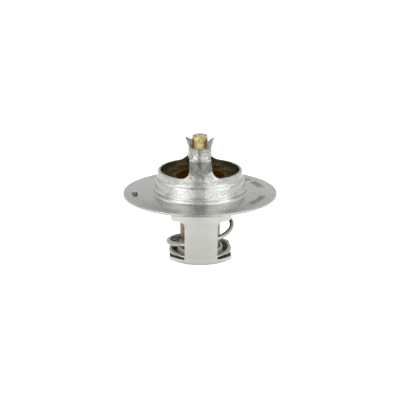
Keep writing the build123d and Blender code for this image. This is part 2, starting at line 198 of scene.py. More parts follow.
def made_piece(name, tree, values):
    """Runs a geometry tree once with its values and keeps the result as a plain mesh."""
    piece = in_scene(name, bpy.data.meshes.new(name))
    modifier = piece.modifiers.new(name, "NODES")
    modifier.node_group = tree
    for item in tree.interface.items_tree:
        if item.in_out == "INPUT" and item.name in values:
            modifier[item.identifier] = values[item.name]
    keep_result(piece)
    return piece


def rounded(corners):
    """Closed outline through (x, y, radius) corners, each turned with an arc of its radius."""
    outline = []
    for index, (x, y, radius) in enumerate(corners):
        here = Vector((x, y))
        back = (Vector(corners[index - 1][:2]) - here).normalized()
        ahead = (Vector(corners[(index + 1) % len(corners)][:2]) - here).normalized()
        if not radius:
            outline.append(here)
            continue
        half = back.angle(ahead) / 2
        centre = here + (back + ahead).normalized() * radius / math.sin(half)
        first = here + back * radius / math.tan(half) - centre
        last = here + ahead * radius / math.tan(half) - centre
        turn = math.atan2(first.cross(last), first.dot(last))
        steps = max(3, math.ceil(abs(turn) / ARC_STEP))
        for step in range(steps + 1):
            outline.append(centre + Matrix.Rotation(turn * step / steps, 2) @ first)
    return outline


def new_object(name, mesh):
    """An object in the scene with a bmesh for its mesh, normals outward."""
    bmesh.ops.recalc_face_normals(mesh, faces=mesh.faces)
    data = bpy.data.meshes.new(name)
    mesh.to_mesh(data)
    mesh.free()
    return in_scene(name, data)


def lathe(name, outline, segments):
    """Closed outline of (radius, height) points, turned round Z."""
    mesh = bmesh.new()
    rings = []
    for index in range(segments):
        turn = Matrix.Rotation(math.tau * (index + 0.5) / segments, 3, "Z")
        rings.append([mesh.verts.new(turn @ Vector((radius, 0, height))) for radius, height in outline])
    for ring, following in zip(rings, rings[1:] + rings[:1]):
        for index in range(len(outline)):
            after = (index + 1) % len(outline)
            mesh.faces.new((ring[index], following[index], following[after], ring[after]))
    return new_object(name, mesh)


def prism(name, outline, reach, plane):
    """Outline carried both ways along the normal of a plane."""
    mesh = bmesh.new()
    near, far = (
        [mesh.verts.new(plane @ Vector((*point, side * reach))) for point in outline] for side in (-1, 1)
    )
    mesh.faces.new(near)
    mesh.faces.new(far)
    for index in range(len(outline)):
        mesh.faces.new((near[index - 1], near[index], far[index], far[index - 1]))
    return new_object(name, mesh)


def cut(piece, cutters):
    """Takes the cutters out of a piece and keeps the result as a plain mesh."""
    for cutter in cutters:
        modifier = piece.modifiers.new(cutter.name, "BOOLEAN")
        modifier.operation = "DIFFERENCE"
        modifier.solver = "EXACT"
        modifier.object = cutter
    keep_result(piece)
    for cutter in cutters:
        bpy.data.objects.remove(cutter)


def length_property(name, description, millimetres):
    """A length for the user to change."""
    return bpy.props.FloatProperty(
        name=name, description=description, default=millimetres * MM, min=0, unit="LENGTH", precision=5,
    )


def angle_property(name, description, degrees):
    """An angle for the user to change."""
    return bpy.props.FloatProperty(
        name=name, description=description, default=math.radians(degrees), subtype="ANGLE", unit="ROTATION",
    )


def number_property(name, description, default, least=0.0, most=4.0):
    """A plain number for the user to change."""
    return bpy.props.FloatProperty(name=name, description=description, default=default, min=least, max=most)


def count_property(name, description, default):
    """A whole number for the user to change."""
    return bpy.props.IntProperty(name=name, description=description, default=default, min=6, max=512)


def colour_property(name, description, default):
    """An sRGB hex colour for the user to change."""
    return bpy.props.StringProperty(name=name, description=description, default=default)


# ---- materials ----------------------------------------------------------------------------------


def facing_axis(tree, coordinates, most):
    """A node whose value rises to its most on the walls that face the axis."""
    flat = add_node(
        tree, "ShaderNodeVectorMath", {"operation": "MULTIPLY"},
        {0: coordinates.outputs["Object"], 1: (1.0, 1.0, 0.0)},
    )
    outward = add_node(tree, "ShaderNodeVectorMath", {"operation": "NORMALIZE"}, {0: flat.outputs[0]})
    facing = add_node(
        tree, "ShaderNodeVectorMath", {"operation": "DOT_PRODUCT"},
        {0: outward.outputs[0], 1: coordinates.outputs["Normal"]},
    )
    return add_node(tree, "ShaderNodeMapRange", inputs={
        "Value": facing.outputs["Value"], "From Min": -0.3, "From Max": -0.8, "To Min": 0.0, "To Max": most,
    })


def pressed_stainless(name, light, dark, painted_shade_colour, roughness, grazing):
    """Austenitic stainless sheet, bright annealed and deep drawn."""
    # Cool grey metal, half glossy: drawing leaves orange peel on the walls, and the throat's inward walls
    # carry painted shade.
    material, tree, output = new_material(name)
    coordinates = add_node(tree, "ShaderNodeTexCoord")
    place = coordinates.outputs["Object"]
    # mottling of 2.5 mm; orange peel of 0.8 mm and grain of 0.5 mm are coarser than real, so that they show
    mottle = add_node(tree, "ShaderNodeTexNoise", inputs={
        "Vector": place, "Scale": 400.0, "Detail": 3.0, "Roughness": 0.55,
    })
    peel = add_node(tree, "ShaderNodeTexNoise", inputs={
        "Vector": place, "Scale": 1200.0, "Detail": 2.0, "Roughness": 0.6,
    })
    grain = add_node(tree, "ShaderNodeTexNoise", inputs={
        "Vector": place, "Scale": 2100.0, "Detail": 2.0, "Roughness": 0.65,
    })
    tone = add_node(
        tree, "ShaderNodeMix", {"data_type": "RGBA"},
        {"Factor": mottle.outputs["Fac"], "A": linear(dark), "B": linear(light)},
    )
    # the bridge, from 6 to 9 mm above the flange, was stretched most and is the most broken in tone
    apart = add_node(tree, "ShaderNodeSeparateXYZ", inputs={0: place})
    bridge = add_node(tree, "ShaderNodeMapRange", inputs={
        "Value": apart.outputs["Z"], "From Min": FLANGE_TOP + 6.0 * MM, "From Max": FLANGE_TOP + 9.0 * MM,
    })
    darkest = add_node(tree, "ShaderNodeMapRange", inputs={
        "Value": bridge.outputs[0], "To Min": 0.78, "To Max": 0.4,
    })
    speckle = add_node(tree, "ShaderNodeMapRange", inputs={
        "Value": grain.outputs["Fac"], "From Min": 0.35, "From Max": 0.65,
        "To Min": darkest.outputs[0], "To Max": 1.18,
    })
    clean = add_node(
        tree, "ShaderNodeVectorMath", {"operation": "SCALE"},
        {0: tone.outputs["Result"], "Scale": speckle.outputs[0]},
    )
    # painted shade: the throat's walls that face the axis are darkened towards the shade colour, where shade
    # falls in the hollow
    inside = facing_axis(tree, coordinates, 0.25)
    low = add_node(tree, "ShaderNodeMapRange", inputs={
        "Value": apart.outputs["Z"], "From Min": FLANGE_TOP + 11.0 * MM, "From Max": FLANGE_TOP + 9.0 * MM,
    })
    throat = add_node(tree, "ShaderNodeMath", {"operation": "MULTIPLY"}, {
        0: inside.outputs[0], 1: low.outputs[0],
    })
    # the neck's rim and its ears, round the nut, are tinted with the same colour, up to 0.35 of it
    rim = add_node(tree, "ShaderNodeMapRange", inputs={
        "Value": apart.outputs["Z"], "From Min": FLANGE_TOP + 14.6 * MM, "From Max": FLANGE_TOP + 15.8 * MM,
        "To Min": 0.0, "To Max": 0.35,
    })
    shade_and_tint = add_node(tree, "ShaderNodeMath", {"operation": "MAXIMUM"}, {
        0: throat.outputs[0], 1: rim.outputs[0],
    })
    colour = add_node(
        tree, "ShaderNodeMix", {"data_type": "RGBA"},
        {"Factor": shade_and_tint.outputs[0], "A": clean.outputs[0], "B": linear(painted_shade_colour)},
    )
    gloss = add_node(tree, "ShaderNodeMapRange", inputs={
        "Value": mottle.outputs["Fac"], "From Min": 0.3, "From Max": 0.7,
        "To Min": roughness - 0.04, "To Max": roughness + 0.06,
    })
    # upright walls were stretched, the flat flange was not
    tilt = add_node(tree, "ShaderNodeSeparateXYZ", inputs={0: coordinates.outputs["Normal"]})
    level = add_node(tree, "ShaderNodeMath", {"operation": "ABSOLUTE"}, {0: tilt.outputs["Z"]})
    upright = add_node(tree, "ShaderNodeMapRange", inputs={
        "Value": level.outputs[0], "From Min": 0.95, "From Max": 0.6, "To Min": 0.12, "To Max": 1.0,
    })
    deep = add_node(tree, "ShaderNodeMapRange", inputs={
        "Value": bridge.outputs[0], "To Min": 0.8, "To Max": 3.0,
    })
    drawn = add_node(tree, "ShaderNodeMath", {"operation": "MULTIPLY"}, {
        0: upright.outputs[0], 1: deep.outputs[0],
    })
    relief = add_node(tree, "ShaderNodeMath", {"operation": "MULTIPLY"}, {
        0: peel.outputs["Fac"], 1: drawn.outputs[0],
    })
    # sheared and drawn edges are broken by about 0.12 mm
    edge = add_node(tree, "ShaderNodeBevel", {"samples": 6}, {"Radius": 0.12 * MM})
    bump = add_node(tree, "ShaderNodeBump", inputs={
        "Strength": 1.0, "Distance": 0.035 * MM, "Height": relief.outputs[0],
        "Normal": edge.outputs["Normal"],
    })
    shader = add_node(tree, "ShaderNodeBsdfPrincipled", inputs={
        "Base Color": colour.outputs["Result"], "Metallic": 1.0, "Specular Tint": linear(grazing),
        "Roughness": gloss.outputs[0], "Normal": bump.outputs["Normal"],
    })
    tree.links.new(shader.outputs[0], output.inputs["Surface"])
    return material


def satin_steel(finish):
    """Tumbled steel strap: satin, very light and evenly matt."""
    # Barrel tumbling gives a pale, even, dull surface with a fine random grain and no direction.
    material, tree, output = new_material("tumbled_steel_strap")
    coordinates = add_node(tree, "ShaderNodeTexCoord")
    place = coordinates.outputs["Object"]
    cloud = add_node(tree, "ShaderNodeTexNoise", inputs={
        "Vector": place, "Scale": 260.0, "Detail": 3.0, "Roughness": 0.55,
    })
    grain = add_node(tree, "ShaderNodeTexNoise", inputs={
        "Vector": place, "Scale": 3200.0, "Detail": 2.0, "Roughness": 0.65,
    })
    tone = add_node(
        tree, "ShaderNodeMix", {"data_type": "RGBA"},
        {"Factor": cloud.outputs["Fac"], "A": linear(finish.strap_dark), "B": linear(finish.strap_light)},
    )
    # painted shade: the faces that look inward and the floor of the pan, which lies below 3 mm, are darkened
    # towards a dull dark tone
    most = 0.9
    inward = facing_axis(tree, coordinates, most)
    tilt = add_node(tree, "ShaderNodeSeparateXYZ", inputs={0: coordinates.outputs["Normal"]})
    height = add_node(tree, "ShaderNodeSeparateXYZ", inputs={0: place})
    upward = add_node(tree, "ShaderNodeMapRange", inputs={
        "Value": tilt.outputs["Z"], "From Min": 0.3, "From Max": 0.8, "To Min": 0.0, "To Max": most,
    })
    low = add_node(tree, "ShaderNodeMath", {"operation": "LESS_THAN"}, {0: height.outputs["Z"], 1: 3.0 * MM})
    pan = add_node(tree, "ShaderNodeMath", {"operation": "MULTIPLY"}, {
        0: upward.outputs[0], 1: low.outputs[0],
    })
    inside = add_node(tree, "ShaderNodeMath", {"operation": "MAXIMUM"}, {
        0: inward.outputs[0], 1: pan.outputs[0],
    })
    colour = add_node(
        tree, "ShaderNodeMix", {"data_type": "RGBA"},
        {"Factor": inside.outputs[0], "A": tone.outputs["Result"], "B": linear(finish.strap_painted_shade)},
    )
    edge = add_node(tree, "ShaderNodeBevel", {"samples": 6}, {"Radius": 0.2 * MM})
    bump = add_node(tree, "ShaderNodeBump", inputs={
        "Strength": 0.4, "Distance": 0.03 * MM, "Height": grain.outputs["Fac"],
        "Normal": edge.outputs["Normal"],
    })
    shader = add_node(tree, "ShaderNodeBsdfPrincipled", inputs={
        "Base Color": colour.outputs["Result"], "Metallic": 0.5, "Roughness": 0.5,
        "Normal": bump.outputs["Normal"],
    })
    tree.links.new(shader.outputs[0], output.inputs["Surface"])
    return material


def spring_wire(finish):
    """Hard-drawn stainless spring wire."""
    # Drawn wire is smooth and greyish olive, with faint clouds.
    material, tree, output = new_material("drawn_spring_wire")
    place = add_node(tree, "ShaderNodeTexCoord").outputs["Object"]
    cloud = add_node(tree, "ShaderNodeTexNoise", inputs={
        "Vector": place, "Scale": 700.0, "Detail": 3.0, "Roughness": 0.6,
    })
    tone = add_node(
        tree, "ShaderNodeMix", {"data_type": "RGBA"},
        {"Factor": cloud.outputs["Fac"], "A": linear(finish.wire_dark), "B": linear(finish.wire_light)},
    )
    bump = add_node(tree, "ShaderNodeBump", inputs={
        "Strength": 0.2, "Distance": 0.02 * MM, "Height": cloud.outputs["Fac"],
    })
    shader = add_node(tree, "ShaderNodeBsdfPrincipled", inputs={
        "Base Color": tone.outputs["Result"], "Metallic": 1.0, "Roughness": 0.3,
        "Normal": bump.outputs["Normal"],
    })
    tree.links.new(shader.outputs[0], output.inputs["Surface"])
    return material


def turned_brass(name, dark, light, roughness, grazing):
    """Free-cutting brass, turned on a lathe."""
    # Warm yellow metal, patchy, with fine rings left by the tool, 0.5 mm apart: coarser than real, to show.
    material, tree, output = new_material(name)
    place = add_node(tree, "ShaderNodeTexCoord").outputs["Object"]
    rings = add_node(
        tree, "ShaderNodeTexWave", {"bands_direction": "Z"},
        {"Vector": place, "Scale": 600.0, "Distortion": 1.5, "Detail": 2.0},
    )
    cloud = add_node(tree, "ShaderNodeTexNoise", inputs={
        "Vector": place, "Scale": 900.0, "Detail": 3.0, "Roughness": 0.6,
    })
    patches = add_node(tree, "ShaderNodeMapRange", inputs={
        "Value": cloud.outputs["Fac"], "From Min": 0.33, "From Max": 0.67,
    })
    tone = add_node(
        tree, "ShaderNodeMix", {"data_type": "RGBA"},
        {"Factor": patches.outputs[0], "A": linear(dark), "B": linear(light)},
    )
    bump = add_node(tree, "ShaderNodeBump", inputs={
        "Strength": 0.15, "Distance": 0.02 * MM, "Height": rings.outputs["Fac"],
    })
    shader = add_node(tree, "ShaderNodeBsdfPrincipled", inputs={
        "Base Color": tone.outputs["Result"], "Metallic": 1.0, "Roughness": roughness,
        "Specular Tint": linear(grazing), "Normal": bump.outputs["Normal"],
    })
    tree.links.new(shader.outputs[0], output.inputs["Surface"])
    return material


def shade_dark_mark(finish):
    """Dark colour of the flange's dots: painted shade that stands in for engraved strokes."""
    # Olive-grey and duller than the sheet round it; its darkness is painted shade.
    material, tree, output = new_material("shade_darkened_mark_steel")
    place = add_node(tree, "ShaderNodeTexCoord").outputs["Object"]
    cloud = add_node(tree, "ShaderNodeTexNoise", inputs={
        "Vector": place, "Scale": 900.0, "Detail": 2.0,
    })
    tone = add_node(
        tree, "ShaderNodeMix", {"data_type": "RGBA"},
        {"Factor": cloud.outputs["Fac"], "A": linear(finish.mark_dark), "B": linear(finish.mark_light)},
    )
    shader = add_node(tree, "ShaderNodeBsdfPrincipled", inputs={
        "Base Color": tone.outputs["Result"], "Metallic": 0.6, "Roughness": 0.5,
    })
    tree.links.new(shader.outputs[0], output.inputs["Surface"])
    return material


def ground_steel():
    """Ground and hardened steel pin."""
    # Centreless grinding leaves a near mirror with a trace of lay round the pin.
    material, tree, output = new_material("ground_steel_pin")
    place = add_node(tree, "ShaderNodeTexCoord").outputs["Object"]
    lay = add_node(
        tree, "ShaderNodeTexWave", {"bands_direction": "Z"},
        {"Vector": place, "Scale": 900.0, "Distortion": 2.0, "Detail": 2.0},
    )
    shade = add_node(tree, "ShaderNodeMapRange", inputs={
        "Value": lay.outputs["Fac"], "To Min": 0.18, "To Max": 0.28,
    })
    shader = add_node(tree, "ShaderNodeBsdfPrincipled", inputs={
        "Base Color": linear("#b4b4b0"), "Metallic": 1.0, "Roughness": shade.outputs[0],
    })
    tree.links.new(shader.outputs[0], output.inputs["Surface"])
    return material


def vent_pin_steel(middle):
    """Steel pin, headed cold, with a painted highlight on its crown and painted shade round its rim."""
    # Painted highlight within 0.4 mm of the pin's middle, painted shade round the rim from 0.7 mm out, made
    # patchy by noise.
    material, tree, output = new_material("headed_vent_pin_steel")
    place = add_node(tree, "ShaderNodeTexCoord").outputs["Object"]
    away = add_node(tree, "ShaderNodeVectorMath", {"operation": "SUBTRACT"}, {0: place, 1: middle})
    flat = add_node(tree, "ShaderNodeVectorMath", {"operation": "MULTIPLY"}, {
        0: away.outputs[0], 1: (1.0, 1.0, 0.0),
    })
    radius = add_node(tree, "ShaderNodeVectorMath", {"operation": "LENGTH"}, {0: flat.outputs[0]})
    cloud = add_node(tree, "ShaderNodeTexNoise", inputs={"Vector": place, "Scale": 2500.0, "Detail": 2.0})
    rim = add_node(tree, "ShaderNodeMapRange", inputs={
        "Value": radius.outputs["Value"], "From Min": 0.4 * MM, "From Max": 0.7 * MM,
    })
    shade_patchiness = add_node(tree, "ShaderNodeMapRange", inputs={
        "Value": cloud.outputs["Fac"], "To Min": 0.8, "To Max": 1.1,
    })
    painted_rim_shade = add_node(tree, "ShaderNodeMath", {"operation": "MULTIPLY"}, {
        0: rim.outputs[0], 1: shade_patchiness.outputs[0],
    })
    tone = add_node(tree, "ShaderNodeMix", {"data_type": "RGBA"}, {
        "Factor": painted_rim_shade.outputs[0], "A": linear("#dcdcda"), "B": linear("#6a665a"),
    })
    shader = add_node(tree, "ShaderNodeBsdfPrincipled", inputs={
        "Base Color": tone.outputs["Result"], "Metallic": 1.0, "Roughness": 0.3,
    })
    tree.links.new(shader.outputs[0], output.inputs["Surface"])
    return material


def moulded_rubber():
    """Nitrile rubber, compression moulded."""
    # Dull black with a fine bloom.
    material, tree, output = new_material("nitrile_rubber")
    place = add_node(tree, "ShaderNodeTexCoord").outputs["Object"]
    bloom = add_node(tree, "ShaderNodeTexNoise", inputs={
        "Vector": place, "Scale": 900.0, "Detail": 4.0, "Roughness": 0.6,
    })
    tone = add_node(
        tree, "ShaderNodeMix", {"data_type": "RGBA"},
        {"Factor": bloom.outputs["Fac"], "A": linear("#161616"), "B": linear("#2c2b29")},
    )
    shader = add_node(tree, "ShaderNodeBsdfPrincipled", inputs={
        "Base Color": tone.outputs["Result"], "Roughness": 0.7, "IOR": 1.52,
    })
    tree.links.new(shader.outputs[0], output.inputs["Surface"])
    return material


def filled_plastic():
    """Glass-filled fluoropolymer washer, pressed and sintered."""
    # Cream and dull, with fine flecks of the glass.
    material, tree, output = new_material("filled_washer_plastic")
    place = add_node(tree, "ShaderNodeTexCoord").outputs["Object"]
    fleck = add_node(tree, "ShaderNodeTexNoise", inputs={
        "Vector": place, "Scale": 1500.0, "Detail": 3.0,
    })
    tone = add_node(
        tree, "ShaderNodeMix", {"data_type": "RGBA"},
        {"Factor": fleck.outputs["Fac"], "A": linear("#c9c3b2"), "B": linear("#e2ddd0")},
    )
    shader = add_node(tree, "ShaderNodeBsdfPrincipled", inputs={
        "Base Color": tone.outputs["Result"], "Roughness": 0.5, "IOR": 1.38,
    })
    tree.links.new(shader.outputs[0], output.inputs["Surface"])
    return material


def copper_wax():
    """Paraffin wax filled with copper powder."""
    # Dull and coppery, grained by the powder.
    material, tree, output = new_material("copper_filled_wax")
    place = add_node(tree, "ShaderNodeTexCoord").outputs["Object"]
    powder = add_node(tree, "ShaderNodeTexNoise", inputs={
        "Vector": place, "Scale": 2600.0, "Detail": 2.0,
    })
    tone = add_node(
        tree, "ShaderNodeMix", {"data_type": "RGBA"},
        {"Factor": powder.outputs["Fac"], "A": linear("#7a4f35"), "B": linear("#a8704c")},
    )
    shader = add_node(tree, "ShaderNodeBsdfPrincipled", inputs={
        "Base Color": tone.outputs["Result"], "Roughness": 0.6, "IOR": 1.44,
    })
    tree.links.new(shader.outputs[0], output.inputs["Surface"])
    return material


# ---- what a user may change ---------------------------------------------------------------------


class ThermostatFinish(bpy.types.PropertyGroup):
    """Colours and gloss of the metals."""

    sheet_light: colour_property("Sheet, light", "Lighter tone of the pressed stainless sheet", "#d6d7d3")
    sheet_dark: colour_property("Sheet, dark", "Darker tone of the pressed stainless sheet", "#bbbcb7")
    # the sheet's shade tint is painted shade on the throat's walls that face the axis, and a tint on the
    # neck's rim and ears
    sheet_shade_tint: colour_property("Sheet, stain", "Stain on the walls that face the axis", "#9a9279")
    sheet_roughness: bpy.props.FloatProperty(
        name="Sheet roughness", description="How dull the pressed stainless sheet is",
        default=0.25, min=0.1, max=0.9, subtype="FACTOR",
    )
    # the valve plate's dark olive tones are painted shade of the throat's hollow
    plate_light: colour_property("Plate, light", "Lighter tone of the valve plate", "#978b6b")
    plate_dark: colour_property("Plate, dark", "Darker tone of the valve plate", "#666049")
    strap_light: colour_property("Strap, light", "Lighter tone of the lower frame", "#e6e8e0")
    strap_dark: colour_property("Strap, dark", "Darker tone of the lower frame", "#d9dbd3")
    # the frame's inner tone is painted shade of its inward faces and the pan's floor
    strap_painted_shade: colour_property("Strap, inside", "Dull tone of the lower frame's inner faces", "#45413a")
    wire_light: colour_property("Wire, light", "Lighter tone of the spring wire", "#cfccbd")
    wire_dark: colour_property("Wire, dark", "Darker tone of the spring wire", "#a5a192")
    nut_light: colour_property("Nut, light", "Lighter tone of the brass nut", "#f2e4b4")
    nut_dark: colour_property("Nut, dark", "Darker tone of the brass nut", "#ae985e")
    cup_light: colour_property("Cup, light", "Lighter tone of the wax cup's brass", "#938563")
    cup_dark: colour_property("Cup, dark", "Darker tone of the wax cup's brass", "#6f6043")
    # the hat's tones are darkened brass: painted shade inside the throat
    hat_light: colour_property("Hat, light", "Lighter tone of the tarnished brass hat", "#7a5a2f")
    hat_dark: colour_property("Hat, dark", "Darker tone of the tarnished brass hat", "#48330f")
    # the marks' dark tones are painted shade of engraved strokes
    mark_light: colour_property("Mark, light", "Lighter tone of the laser's marks", "#5f5d46")
    mark_dark: colour_property("Mark, dark", "Darker tone of the laser's marks", "#3a3829")


class ThermostatPressing(bpy.types.PropertyGroup):
    """Sizes of the bell and its bridge, drawn from one sheet; a rise is measured from the flange's top"""

    flange_radius: length_property("Flange radius", "Half the flange's width", 27.0)
    flange_edge: length_property("Flange edge", "Round of the flange's rim", 0.15)
    sheet: length_property("Sheet", "Thickness of the sheet", 0.8)
    land_radius: length_property("Land radius", "Where the clamping land begins", 24.45)
    land_slope: length_property("Land slope", "Width of the land's joggle", 0.15)
    land_drop: length_property("Land drop", "How much lower the clamping land lies", 0.05)
    vent_circle: length_property("Vent circle", "How far the vent stands from the axis", 23.1)
    vent_radius: length_property("Vent radius", "Half the vent hole's width", 0.75)
    foot_radius: length_property("Foot radius", "Outer radius of the bell's foot", 16.4)
    foot_bend: length_property("Foot bend", "Round between the flange and the bell", 1.0)
    foot_rise: length_property("Foot rise", "Height of the first step", 2.3)
    foot_ledge: length_property("Foot ledge", "Width of the first step", 0.55)
    step_height: length_property("Step height", "Height of the first step's slope", 0.7)
    wall_taper: length_property("Wall taper", "How far the middle wall leans in", 0.2)
    shoulder_rise: length_property("Shoulder rise", "Height of the second step", 5.4)
    shoulder_ledge: length_property("Shoulder ledge", "Width of the second step", 0.9)
    shoulder_slope: length_property("Shoulder slope", "Height of the second step's slope", 0.7)
    shoulder_round: length_property("Shoulder round", "Rounds of the second step", 0.9)
    rim_rise: length_property("Rim rise", "Height of the throat's rim between the legs", 8.1)
    bend_rise: length_property("Bend rise", "Where the legs turn in to the neck", 10.6)
    bend: length_property("Bend", "Round of the legs' bend", 3.4)
    leg_width: length_property("Leg width", "Width of a bridge leg", 7.5)
    leg_fillet: length_property("Leg fillet", "Round between a leg and the rim", 3.4)
    window_rise: length_property("Window rise", "Top of the open sides", 13.2)
    neck_radius: length_property("Neck radius", "Outer radius of the neck", 4.1)
    neck_wall: length_property("Neck wall", "Thickness of the drawn neck", 0.6)
    neck_rise: length_property("Neck rise", "Where the neck begins", 11.8)
    neck_bend: length_property("Neck bend", "Round at the neck's foot", 2.0)
    collar_rise: length_property("Collar rise", "Bottom of the notch between the ears", 16.4)
    ear_start: length_property("Ear start", "Where the ears begin to flare", 16.1)
    ear_bend: length_property("Ear bend", "Round where the ears begin to flare", 0.7)
    ear_rise: length_property("Ear rise", "Top of the ears", 20.0)
    ear_flare: length_property("Ear flare", "How far the ears lean out", 1.35)
    ear_half_width: length_property("Ear half width", "Half an ear's width, front to rear", 3.6)
    ear_gap: length_property("Ear gap", "Width of the notch between the ears", 5.9)
    ear_peak: length_property("Ear peak", "How far ahead of the axis the ears are highest", 1.0)
    ear_front_drop: length_property("Ear front drop", "How much lower the ears' front corner lies", 1.3)
    ear_rear_drop: length_property("Ear rear drop", "How much lower the ears' rear corner lies", 2.2)
    ear_corner: length_property("Ear corner", "Round of the ears' corners", 1.4)
    ear_turn: angle_property("Ear turn", "How far the ears are turned round the axis", -10)
    vent_angle: angle_property("Vent angle", "Where the vent hole lies round the axis", 188)
    segments: count_property("Segments", "Flats in the pressing's round", 192)


class ThermostatSpring(bpy.types.PropertyGroup):
    """The main spring's sizes; its heights and coil radii are those of the wire's middle line."""

    wire_radius: length_property("Wire radius", "Half the spring wire's thickness", 0.8)
    top_radius: length_property("Coil radius", "Radius of the upper coils", 11.3)
    bottom_radius: length_property("Bottom coil radius", "Radius of the coil that sits in the pan", 10.35)
    bottom: length_property("Bottom", "Height of the wire in the pan", 1.62)
    top: length_property("Top", "Height of the wire under the valve plate", 26.68)
    turns: number_property("Turns", "Number of turns", 3.36, 1, 12)
    dead_turns: number_property("Dead turns", "Turns that lie flat at each end", 0.14, 0, 1)
    bottom_ramp: number_property("Bottom ramp", "Turns in which the pitch grows to full", 1.17, 0.1, 3)
    top_ramp: number_property("Top ramp", "Turns in which the pitch falls from full to flat", 0.6, 0.1, 3)
    start_angle: angle_property("Start", "Where the bottom coil's end lies", 130)
    points: count_property("Points per turn", "How finely the wire follows its turn", 72)
    sides: count_property("Sides", "Flats round the wire", 24)


class ThermostatMarks(bpy.types.PropertyGroup):
    """The plain dot fields on the flange and the pips on the frame's legs."""

    dot_radius: length_property("Dot radius", "Half a dot's width", 0.21)
    dot_pitch: length_property("Dot pitch", "From one dot's middle to the next", 0.5)
    dot_height: length_property("Dot height", "How far a dot stands out of the sheet", 0.02)
    pip_radius: length_property("Pip radius", "Half the width of the pip on each leg", 1.1)
    pip_rise: length_property("Pip rise", "How far the pip on each leg stands out", 0.1)
    pip_height: length_property("Pip place", "Height of the pip on each leg", 6.4)


class ThermostatStage(bpy.types.PropertyGroup):
    """Camera, floor, cards and room; a level of 1 is white."""

    distance: length_property("Distance", "From the flange's middle to the camera", 400.0)
    elevation: angle_property("Elevation", "Height of the camera seen from the flange's middle", 17.09)
    pitch: angle_property("Pitch", "How far the camera looks down", 17.54)
    side: angle_property("Side", "How far the camera stands to the left of the front", 1.7)
    lens: bpy.props.FloatProperty(
        name="Lens", description="Focal length on a 36 mm wide sensor",
        default=102.2, min=10, max=400, unit="CAMERA",
    )
    backdrop: colour_property("Backdrop", "Colour of the floor and the backdrop", WHITE)
    near_in_metal: number_property("Near floor in metal", "Level mirrored in front, near the part", 0.44)
    floor_in_metal: number_property("Floor in metal", "Level mirrored in front, further away", 0.66)
    side_in_metal: number_property("Side floor in metal", "Level mirrored at the part's sides", 0.98)
    card_level: number_property("Card level", "Level of the two white cards beside the part", 0.98)
    card_rise: number_property("Card rise", "How many times brighter the cards are further away", 1.75)
    card_left: angle_property("Left card", "How far round from the camera the left card lies", -38)
    card_right: angle_property("Right card", "How far round from the camera the right card lies", 32)
    card_spread: angle_property("Card spread", "Half the angle that a card spans", 20)
    box_level: number_property("Box level", "Level of the tall boxes that metal sees beside the camera", 1.4)
    box_left: number_property("Left box", "Sideways part of the direction to its middle", -0.57, -1, 1)
    box_left_half: number_property("Left box half", "Half its width", 0.24)
    box_right: number_property("Right box", "Sideways part of the direction to its middle", 0.5, -1, 1)
    box_right_half: number_property("Right box half", "Half its width", 0.3)
    room_front: number_property("Front of room", "Mirrored level of the low room at the camera", 0.8)
    room_back: number_property("Back of room", "Mirrored level of the low room behind the part", 0.71)
    room_top: number_property("Top of room", "Mirrored level of the upper room", 0.45)


# ---- pieces and stage ---------------------------------------------------------------------------


